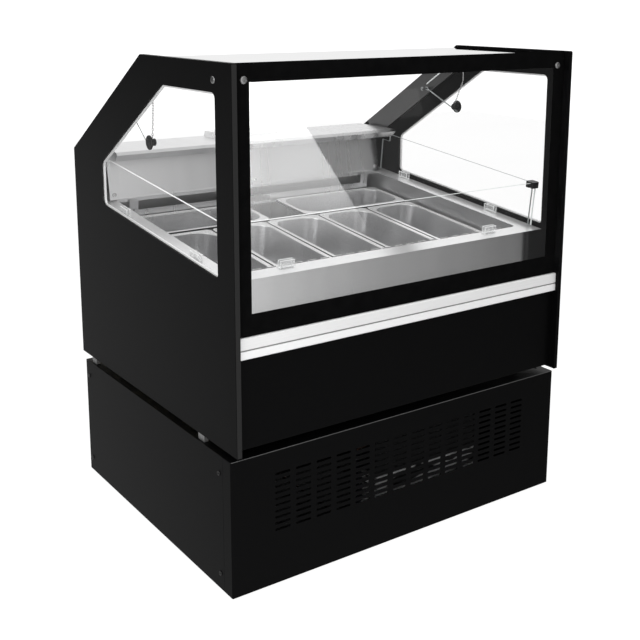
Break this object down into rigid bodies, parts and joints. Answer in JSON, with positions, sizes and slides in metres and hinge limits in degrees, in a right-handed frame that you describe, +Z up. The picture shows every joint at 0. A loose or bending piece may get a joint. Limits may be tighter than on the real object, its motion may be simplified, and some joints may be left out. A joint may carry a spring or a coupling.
{
  "type": "ice cream display case",
  "caption": "Free-standing ice cream display case: black body on a louvred plinth, sloping back, side windows, lift-up front glass, glass guard and steel pans in a tilted deck.",
  "frame": {"origin": "on the floor, under the middle of the case", "axes": "+Z up, +Y from the customer's side towards the server, +X to the right of a customer who faces it"},
  "size_m": [0.9844, 0.84, 1.164],
  "materials": {
    "black_paint": "fine-textured powder coat, semi-gloss",
    "stainless": "brushed, bright on the apron",
    "pan_steel": "satin pressed steel",
    "bright_steel": "polished",
    "aluminium": "satin anodised",
    "galvanised": "dull zinc",
    "clear_glass": "clear float glass",
    "clear_plastic": "clear acrylic",
    "black_plastic": "moulded, satin",
    "pale_plastic": "pale, matt",
    "copper": "drawn copper",
    "foam": "rigid foam"
  },
  "bodies": {
    "case": {"air_comb": "stainless", "base_frame": "black_paint", "base_front_grille": "black_paint", "base_rear_grille": "black_paint", "base_side_panels": "black_paint", "bumper_rail": "aluminium", "cable_gland": "black_plastic", "chain_hooks": "bright_steel", "chain_left": "bright_steel", "chain_right": "bright_steel", "compressor": "black_paint", "condenser_coil": "aluminium", "condenser_fan_motor": "black_plastic", "condenser_shroud": "galvanised", "control_box": "pale_plastic", "control_display": "black_plastic", "copper_lines": "copper", "deck_rim": "stainless", "drip_tray": "galvanised", "evaporator": "aluminium", "evaporator_fan_plate": "stainless", "flap_rails": "stainless", "front_lower_panel": "black_paint", "guard_clips": "clear_plastic", "guard_corners": "black_plastic", "guard_front_pane": "clear_glass", "guard_side_panes": "clear_glass", "hinge_pivots": "bright_steel", "housing_front": "stainless", "levelling_feet": "black_plastic", "neck_spacers": "aluminium", "pan_frame": "stainless", "panel_screws": "bright_steel", "rear_panel": "black_paint", "rear_screen": "clear_plastic", "roof_glass": "clear_glass", "side_panel_left": "black_paint", "side_panel_right": "black_paint", "side_windows": "clear_glass", "switch_housing": "black_plastic", "tank_insulation": "foam", "tank_liner": "stainless", "window_spacers": "aluminium", "worktop": "stainless"},
    "front_glass": {"front_glass": "clear_glass", "glass_hinge_arms": "black_paint", "glass_cap_screws": "bright_steel"},
    "flap": {"flap": "clear_plastic", "flap_knobs": "black_plastic"},
    "condenser_fan": {"condenser_fan": "black_plastic"},
    "evaporator_fan_left": {"evaporator_fan_left": "black_plastic"},
    "evaporator_fan_right": {"evaporator_fan_right": "black_plastic"},
    "power_switch": {"power_switch": "black_plastic"},
    "pan_front_1": {"pan_front_1": "pan_steel"},
    "pan_front_2": {"pan_front_2": "pan_steel"},
    "pan_front_3": {"pan_front_3": "pan_steel"},
    "pan_front_4": {"pan_front_4": "pan_steel"},
    "pan_front_5": {"pan_front_5": "pan_steel"},
    "pan_back_left": {"pan_back_left": "pan_steel"},
    "pan_back_right": {"pan_back_right": "pan_steel"}
  },
  "joints": [
    {"name": "front_glass_lift", "type": "hinge", "parent": "case", "child": "front_glass", "pos_m": [0, -0.345, 1.127], "axis": [-1, 0, 0], "range_deg": [0, 60]},
    {"name": "flap_lift", "type": "hinge", "parent": "case", "child": "flap", "pos_m": [0, 0.10824, 1.03609], "axis": [-1, 0, 0], "range_deg": [0, 34], "deforming": ["chain_left", "chain_right"]},
    {"name": "condenser_fan_spin", "type": "hinge", "parent": "case", "child": "condenser_fan", "pos_m": [0.11, -0.24, 0.1255], "axis": [0, 1, 0], "continuous": true},
    {"name": "evaporator_fan_left_spin", "type": "hinge", "parent": "case", "child": "evaporator_fan_left", "pos_m": [-0.205, 0.29275, 0.545], "axis": [0, 1, 0], "continuous": true},
    {"name": "evaporator_fan_right_spin", "type": "hinge", "parent": "case", "child": "evaporator_fan_right", "pos_m": [0.205, 0.29275, 0.545], "axis": [0, 1, 0], "continuous": true},
    {"name": "power_switch_rock", "type": "hinge", "parent": "case", "child": "power_switch", "pos_m": [-0.4, 0.386, 0.298], "axis": [0, 0, -1], "range_deg": [0, 12]},
    {"name": "pan_front_1_lift", "type": "slide", "parent": "case", "child": "pan_front_1", "axis": [0, -0.1045, 0.9945], "range_m": [0, 0.18]},
    {"name": "pan_front_2_lift", "type": "slide", "parent": "case", "child": "pan_front_2", "axis": [0, -0.1045, 0.9945], "range_m": [0, 0.18]},
    {"name": "pan_front_3_lift", "type": "slide", "parent": "case", "child": "pan_front_3", "axis": [0, -0.1045, 0.9945], "range_m": [0, 0.18]},
    {"name": "pan_front_4_lift", "type": "slide", "parent": "case", "child": "pan_front_4", "axis": [0, -0.1045, 0.9945], "range_m": [0, 0.18]},
    {"name": "pan_front_5_lift", "type": "slide", "parent": "case", "child": "pan_front_5", "axis": [0, -0.1045, 0.9945], "range_m": [0, 0.18]},
    {"name": "pan_back_left_lift", "type": "slide", "parent": "case", "child": "pan_back_left", "axis": [0, -0.1045, 0.9945], "range_m": [0, 0.15]},
    {"name": "pan_back_right_lift", "type": "slide", "parent": "case", "child": "pan_back_right", "axis": [0, -0.1045, 0.9945], "range_m": [0, 0.15]}
  ]
}
